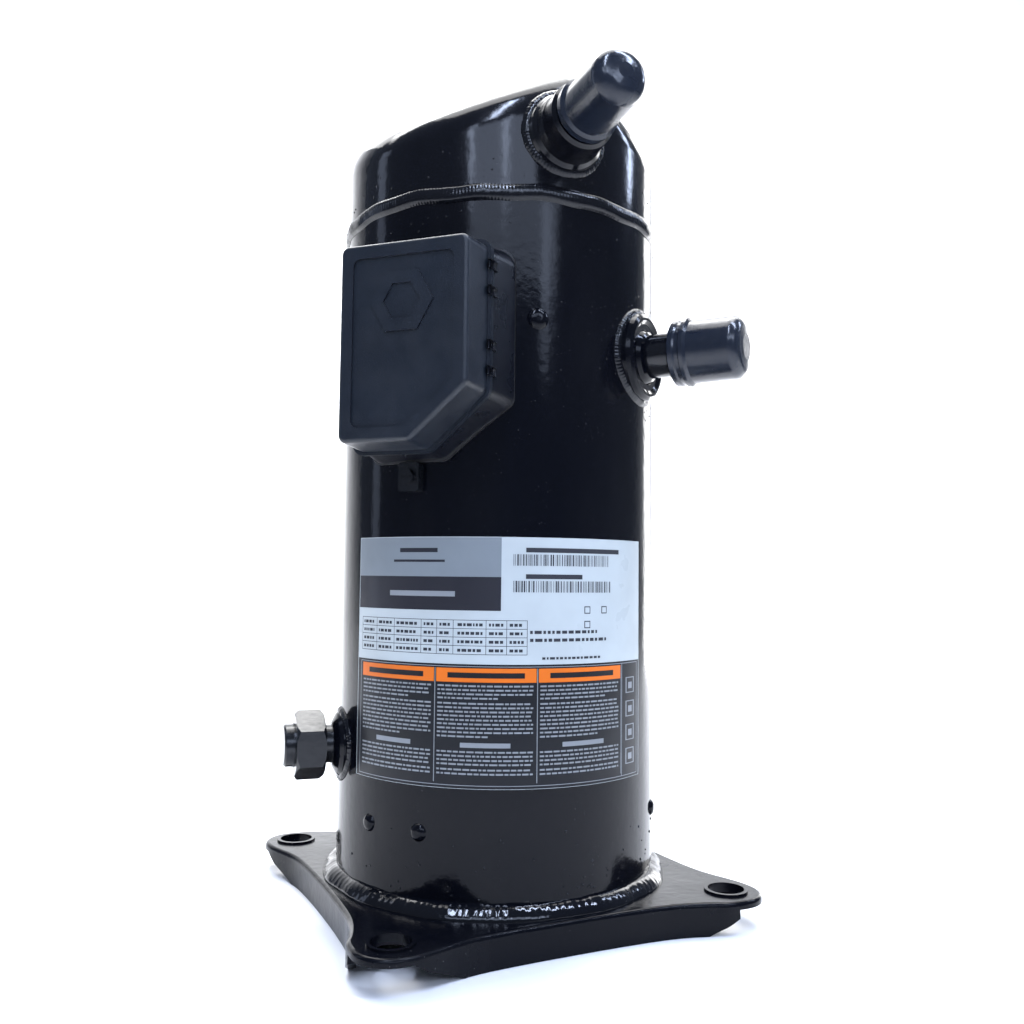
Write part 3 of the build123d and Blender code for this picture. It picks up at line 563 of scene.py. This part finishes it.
LABEL_R = SHELL_R + 0.0003
LABEL_LEFT, LABEL_RIGHT = -168.2, -57.3
LAYER = 0.00004  # printed layers are stacked by this much
PATCH_STEP = 2.0  # degrees per face

LABEL_INKS = [
    label_silver, label_grey, label_dark, label_black, label_orange, label_ink, label_pale
]
SILVER, GREY, DARK, BLACK, ORANGE, INK, PALE = range(len(LABEL_INKS))


def print_patch(bm, left, right, bottom, top, layer, ink):
    """A printed rectangle: azimuths left to right, heights bottom to top."""
    steps = max(1, int(abs(right - left) / PATCH_STEP + 0.999))
    radius = LABEL_R + layer * LAYER
    last = None
    for k in range(steps + 1):
        azimuth = left + (right - left) * k / steps
        low = bm.verts.new(polar(azimuth, radius, bottom))
        high = bm.verts.new(polar(azimuth, radius, top))
        if last:
            face = bm.faces.new((last[0], low, high, last[1]))
            face.material_index = ink
        last = (low, high)


def arc(mm):
    """Degrees around the shell for a length in millimetres."""
    return math.degrees(mm / 1000 / SHELL_R)


def dashes(bm, rng, left, right, z, height, layer, ink, word, gap, fill=1.0):
    """A row of dashes where words would be. word is their shortest and longest, in mm."""
    a = left
    stop = left + (right - left) * fill
    while a < stop - arc(1.0):
        b = min(stop, a + arc(rng.uniform(*word)))
        print_patch(bm, a, b, z, z + height, layer, ink)
        a = b + arc(gap)


rng = random.Random(4)
bm = bmesh.new()
# header blocks, then plain bars where a name would be
for patch in (
    (LABEL_LEFT, -113.3, 0.1726, 0.1927, 1, GREY),
    (LABEL_LEFT, -113.3, 0.1555, 0.1726, 1, DARK),
    (-148.0, -134.0, 0.1850, 0.1872, 2, DARK),
    (-150.5, -131.5, 0.1800, 0.1812, 2, DARK),
    (-152.0, -128.0, 0.1625, 0.1652, 2, PALE),
):
    print_patch(bm, *patch)
# two strips of random upright bars, with a plain bar above each
for z, right, bar_right in ((0.1785, -75.0, -70.0), (0.1650, -74.5, -86.0)):
    print_patch(bm, -105.5, bar_right, z + 0.0068, z + 0.0092, 1, INK)
    a = -109.5
    while a < right:
        w = arc(rng.choice((0.25, 0.25, 0.5, 0.75)))
        print_patch(bm, a, a + w, z, z + 0.0058, 1, INK)
        a += w + arc(rng.choice((0.3, 0.5, 0.5, 0.9)))
# data grid, lower left of the silver part
for z in (0.1505, 0.1462, 0.1419, 0.1376, 0.1333):
    print_patch(bm, -166.0, -105.0, z, z + 0.00028, 1, INK)
for a in (-166.0, -158.0, -150.0, -139.5, -134.0, -128.5, -118.0, -111.5, -105.0):
    print_patch(bm, a, a + arc(0.28), 0.1333, 0.1508, 1, INK)
GRID_CELLS = (
    (-165, -159), (-157, -151), (-149, -140.5), (-138.5, -135),
    (-133, -129.5), (-127, -119), (-117, -112.5), (-110.5, -106),
)
for z in (0.1472, 0.1429, 0.1386, 0.1343):
    for left, right in GRID_CELLS:
        dashes(bm, rng, left, right, z + 0.0004, 0.0015, 1, INK, (0.8, 2.6), 0.6)
# lines of small print to its right
dashes(bm, rng, -104, -80, 0.1440, 0.0016, 1, INK, (1.2, 4.0), 0.9)
dashes(bm, rng, -104, -76, 0.1400, 0.0016, 1, INK, (1.2, 4.0), 0.9)
dashes(bm, rng, -100, -78, 0.1310, 0.0012, 1, INK, (1.0, 3.0), 0.7)
# plain square marks
for a, z in ((-84.0, 0.1560), (-77.0, 0.1560), (-84.0, 0.1485)):
    print_patch(bm, a - arc(1.9), a + arc(1.9), z - 0.0019, z + 0.0019, 1, INK)
    print_patch(bm, a - arc(1.4), a + arc(1.4), z - 0.0014, z + 0.0014, 2, SILVER)
# black part with its pale outline
FRAME_LEFT, FRAME_RIGHT = -166.4, -58.6
print_patch(bm, LABEL_LEFT, LABEL_RIGHT, 0.0667, 0.1285, 1, BLACK)
print_patch(bm, FRAME_LEFT, FRAME_RIGHT, 0.0680, 0.06835, 2, PALE)
print_patch(bm, FRAME_LEFT, FRAME_RIGHT, 0.1272, 0.12755, 2, PALE)
for a in (FRAME_LEFT, -58.9, -68.2):
    print_patch(bm, a, a + arc(0.4), 0.0680, 0.1275, 2, PALE)

# three columns of small print, each under an orange heading
COLUMNS = ((-165.2, -134.6), (-133.8, -101.8), (-101.0, -68.9))
TEXT_TOP, TEXT_BOTTOM = 0.1172, 0.0715
LINE_PITCH, LINE_HEIGHT = 0.00205, 0.00085
PARAGRAPH_STARTS = (4, 17)
PARAGRAPH_ENDS = (3, 12, 19)
SUBHEADING_BEFORE = 13
for left, right in COLUMNS:
    print_patch(bm, left, right, 0.1195, 0.1265, 2, ORANGE)
    print_patch(bm, left + arc(6), right - arc(6), 0.1216, 0.1243, 3, BLACK)
    print_patch(bm, right + arc(0.4), right + arc(0.8), 0.0695, 0.1265, 2, PALE)
    z = TEXT_TOP
    line = 0
    while z > TEXT_BOTTOM:
        if line in PARAGRAPH_STARTS:
            z -= 0.0006
        if line == SUBHEADING_BEFORE:
            z -= 0.0022
            print_patch(bm, left + arc(13), right - arc(13), z - 0.0008, z + 0.0016, 2, PALE)
            z -= 0.0034
        fill = rng.uniform(0.4, 0.8) if line in PARAGRAPH_ENDS else 0.985
        start, end = left + arc(0.8), right - arc(0.8)
        dashes(bm, rng, start, end, z, LINE_HEIGHT, 2, PALE, (1.2, 4.2), 0.65, fill)
        z -= LINE_PITCH
        line += 1
# plain picture boxes in the right-hand column
for z in (0.1155, 0.1030, 0.0905, 0.0780):
    print_patch(bm, -65.9, -60.6, z - 0.0042, z + 0.0042, 2, PALE)
    print_patch(bm, -65.3, -61.2, z - 0.0037, z + 0.0037, 3, BLACK)
    print_patch(bm, -64.4, -62.1, z - 0.0019, z + 0.0015, 4, PALE)
mesh_object("label_print", bm, LABEL_INKS)

# ------------------------------------------------------------------ terminal box details

CLIP_EDGE = 0.0004  # the clips' broken edges


def slab(bm, u0, u1, z0, z1, d0, d1):
    """A block set square to the terminal box: u across, z up, d out from the shell axis."""
    made = bmesh.ops.create_cube(bm, size=1.0)
    cu, cz, cd = (u0 + u1) / 2, (z0 + z1) / 2, (d0 + d1) / 2
    for v in made["verts"]:
        u, z, d = v.co.x * (u1 - u0), v.co.z * (z1 - z0), v.co.y * (d1 - d0)
        v.co = out(BOX_AZIMUTH) * (cd + d) + side(BOX_AZIMUTH) * (cu + u) + level(cz + z)
    edges = list({e for v in made["verts"] for e in v.link_edges})
    bmesh.ops.bevel(bm, geom=edges, offset=CLIP_EDGE, segments=2, affect="EDGES", profile=0.5)


# snap clips over the cover's rim: right, left and top
bm = bmesh.new()
for z in (0.3260, 0.3130, 0.2860, 0.2730):
    slab(bm, 0.0376, 0.0390, z - 0.0022, z + 0.0022, 0.1045, 0.1125)
for z in (0.3200, 0.2650):
    slab(bm, -0.0384, -0.0366, z - 0.0040, z + 0.0040, 0.1040, 0.1128)
for u in (-0.0180, 0.0180):
    slab(bm, u - 0.0040, u + 0.0040, 0.3382, 0.3398, 0.1040, 0.1128)
mesh_object("cover_clips", bm, [housing_plastic])

# ------------------------------------------------------------------ floor

FLOOR_GAP = 0.0002
FLOOR_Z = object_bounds()[0][2] - FLOOR_GAP
FLOOR_FRONT, FLOOR_BACK = -4.0, 1.6
BEND_R, BEND_STEPS = 1.2, 12
WALL_TOP = 4.2
HALF_WIDTH = 5.0
FLOOR_TURN = -24.6
PAPER = (0.86, 0.86, 0.865)
PAPER_PAINTED_SHADE = (0.40, 0.41, 0.43)


def paper(name, rough):
    """Plain pale paper with painted shade that turns it greyer far in front, where only
    reflections see it.
    """
    p = Paint(name, PAPER, rough)
    split = p.tree.nodes.new("ShaderNodeSeparateXYZ")
    p.link(p.coord, split.inputs["Vector"])
    # painted shade: the floor's colour turns greyer towards the front
    p.color(p.mix(p.ramp(split.outputs["Y"], -1.1, -0.3), PAPER_PAINTED_SHADE, PAPER))
    p.roughness(p.ramp(p.noise(3.0, 2.0), 0.3, 0.7, rough * 0.95, rough))
    return p.mat


# a flat floor that bends up into a wall behind: (y, z above the floor)
profile = [(FLOOR_FRONT, 0.0), (FLOOR_BACK, 0.0)]
for k in range(1, BEND_STEPS + 1):
    a = math.radians(90 * k / BEND_STEPS)
    profile.append((FLOOR_BACK + BEND_R * math.sin(a), BEND_R - BEND_R * math.cos(a)))
profile.append((FLOOR_BACK + BEND_R, WALL_TOP))
bm = bmesh.new()
rows = []
for y, z in profile:
    rows.append([bm.verts.new((x, y, FLOOR_Z + z)) for x in (-HALF_WIDTH, HALF_WIDTH)])
for a, b in zip(rows, rows[1:]):
    bm.faces.new((a[0], a[1], b[1], b[0]))
floor = link_mesh("floor_sweep", bm, [paper("floor_white", 0.7)])
floor.rotation_euler = (0, 0, math.radians(FLOOR_TURN))

# ------------------------------------------------------------------ light

world = bpy.data.worlds.new("studio_world")
bpy.context.scene.world = world
world.use_nodes = True
world.node_tree.nodes["Background"].inputs["Color"].default_value = (0.64, 0.76, 1.0, 1.0)
world.node_tree.nodes["Background"].inputs["Strength"].default_value = 0.26
bpy.context.scene.view_settings.view_transform = "Standard"

WHITE = (1.0, 1.0, 1.0)
COOL = (0.64, 0.75, 1.0)
MID = (0.0, 0.0, 0.25)
CAP = (0.0, 0.0, 0.40)
LAMP_AIM = (0.0, 0.0, 0.2)

# name, location, target, width, height, power, colour
PANELS = (
    # seen as soft bands in the enamel
    ("band_left", polar(150, 1.6, 0.5), MID, 0.22, 1.6, 1.8, COOL),
    ("band_centre", polar(-83, 1.7, 0.86), (0.0, 0.0, 0.34), 0.22, 0.42, 1.1, COOL),
    # the wide one high in front, seen in the cap's slanted faces, and the cap's own strips
    ("sky", polar(-105, 2.0, 1.25), (0.0, 0.0, 0.38), 2.4, 0.6, 18, COOL),
    ("cap_strip_left", polar(-136, 1.8, 1.32), CAP, 0.06, 0.5, 1.6, COOL),
    ("cap_strip_centre", polar(-112, 1.8, 1.32), CAP, 0.06, 0.5, 1.6, COOL),
    ("cap_strip_right", polar(-8, 1.6, 1.30), CAP, 0.16, 0.55, 6, COOL),
    # the bright edge down the shell's right side
    ("rim_right", polar(24, 1.4, 0.5), MID, 0.36, 1.6, 12, WHITE),
    # overhead, seen as sparks on the welds, rims and rounded edges
    ("tube_left", (-0.55, -0.75, 1.7), LAMP_AIM, 0.10, 1.0, 16, COOL),
    ("tube_right", (0.55, -0.65, 1.7), LAMP_AIM, 0.10, 1.0, 16, COOL),
    ("top_soft", (0.2, 0.5, 2.1), (0.1, 0.3, 0.0), 1.6, 1.6, 34, WHITE),
    # on the backdrop and the floor
    ("back_wash", (0.5, 1.0, 2.2), (0.9, 2.4, 0.8), 3.0, 1.4, 95, WHITE),
    ("back_wash_left", (-1.3, 1.5, 2.2), (-1.4, 3.2, 0.8), 2.0, 1.4, 60, WHITE),
    ("floor_wash", (0.3, 1.0, 1.9), (0.4, 1.1, 0.0), 2.4, 1.4, 40, WHITE),
)
for name, location, target, width, height, power, color in PANELS:
    data = bpy.data.lights.new(name, "AREA")
    data.shape = "RECTANGLE"
    data.size = width
    data.size_y = height
    data.energy = power
    data.color = color
    light = bpy.data.objects.new(name, data)
    light.location = location
    aim = Vector(target) - Vector(location)
    light.rotation_euler = aim.to_track_quat("-Z", "Y").to_euler()
    bpy.context.scene.collection.objects.link(light)

# ------------------------------------------------------------------ camera

CAMERA_AT = (-0.24228, -0.52918, 0.1730)
CAMERA_FORWARD = (0.42486, 0.90288, 0.06558)
CAMERA_ROLL = 0.62

camera_data = bpy.data.cameras.new("camera")
camera = bpy.data.objects.new("camera", camera_data)
bpy.context.scene.collection.objects.link(camera)
camera_data.sensor_width = 36.0
camera_data.lens = 33.89
camera_data.shift_x = 0.0039
camera_data.shift_y = 0.0010
forward = Vector(CAMERA_FORWARD).normalized()
level_right = forward.cross(UP).normalized()
level_up = level_right.cross(forward)
roll = math.radians(CAMERA_ROLL)
turned_right = level_right * math.cos(roll) + level_up * math.sin(roll)
turned_up = level_up * math.cos(roll) - level_right * math.sin(roll)
rotation = Matrix((turned_right, turned_up, -forward)).transposed().to_4x4()
camera.matrix_world = Matrix.Translation(CAMERA_AT) @ rotation
bpy.context.scene.camera = camera
